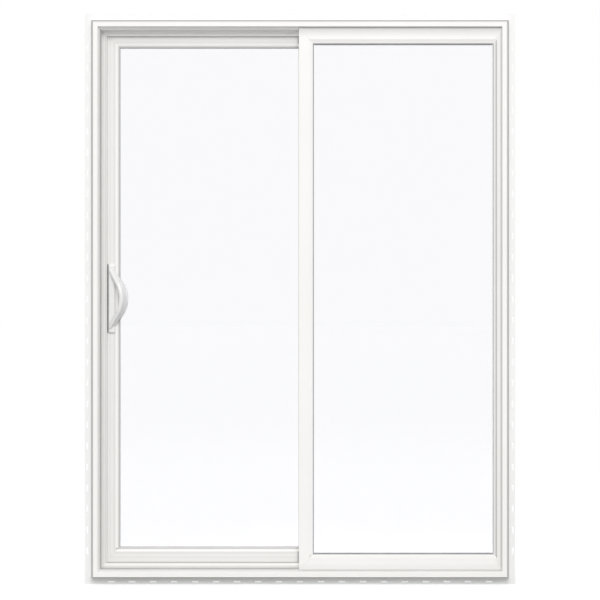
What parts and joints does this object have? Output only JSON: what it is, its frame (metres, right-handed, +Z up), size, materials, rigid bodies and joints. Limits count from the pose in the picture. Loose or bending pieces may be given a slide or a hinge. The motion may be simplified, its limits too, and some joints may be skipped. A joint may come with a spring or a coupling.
{
  "type": "sliding patio door",
  "caption": "White vinyl framed sliding glass patio door, one fixed and one sliding double glazed panel with a bow pull handle and slotted nailing fin.",
  "frame": {"origin": "back face of the sill's nailing fin, mid-width of the door and mid-height of the fin", "axes": "+X to the right seen from outdoors, +Y from outdoors to indoors, +Z up"},
  "size_m": [1.5622, 0.1506, 2.0701],
  "materials": {
    "vinyl": "smooth satin",
    "fin_vinyl": "plain extruded",
    "glass": "clear, sealed double unit",
    "gasket": "soft matte",
    "spacer": "mill finish",
    "interlock": "white powder coat",
    "track": "anodised",
    "steel": "brushed",
    "wheel": "moulded nylon",
    "handle_paint": "white enamel",
    "pile": "dense pile",
    "rubber": "moulded"
  },
  "bodies": {
    "frame": {"head": "vinyl", "sill": "vinyl", "lock_jamb": "vinyl", "fixed_jamb": "vinyl", "head_cover": "vinyl", "sill_cover": "vinyl", "jamb_cover": "vinyl", "fixed_bottom_rail": "vinyl", "fixed_top_rail": "vinyl", "fixed_interlock_stile": "vinyl", "fixed_jamb_stile": "vinyl", "fixed_glazing_bead": "vinyl", "nail_fin_head": "fin_vinyl", "nail_fin_sill": "fin_vinyl", "nail_fin_left": "fin_vinyl", "nail_fin_right": "fin_vinyl", "fixed_outer_pane": "glass", "fixed_inner_pane": "glass", "fixed_gasket": "gasket", "fixed_spacer": "spacer", "fixed_interlock": "interlock", "roller_rail": "track", "keeper": "steel", "outer_weatherstrip": "pile", "inner_weatherstrip": "pile", "head_stop": "rubber"},
    "sliding_panel": {"sliding_bottom_rail": "vinyl", "sliding_top_rail": "vinyl", "sliding_interlock_stile": "vinyl", "sliding_glazing_bead": "vinyl", "sliding_outer_pane": "glass", "sliding_inner_pane": "glass", "sliding_gasket": "gasket", "sliding_spacer": "spacer", "sliding_interlock": "interlock", "left_roller_carriage": "steel", "right_roller_carriage": "steel", "left_roller_wheel": "wheel", "right_roller_wheel": "wheel", "lock_stile": "vinyl", "latch_faceplate": "steel", "outside_handle": "handle_paint", "inside_handle": "handle_paint", "thumb_turn": "handle_paint"}
  },
  "joints": [
    {"name": "panel_slide", "type": "slide", "parent": "frame", "child": "sliding_panel", "axis": [1, 0, 0], "range_m": [0, 0.6]}
  ]
}
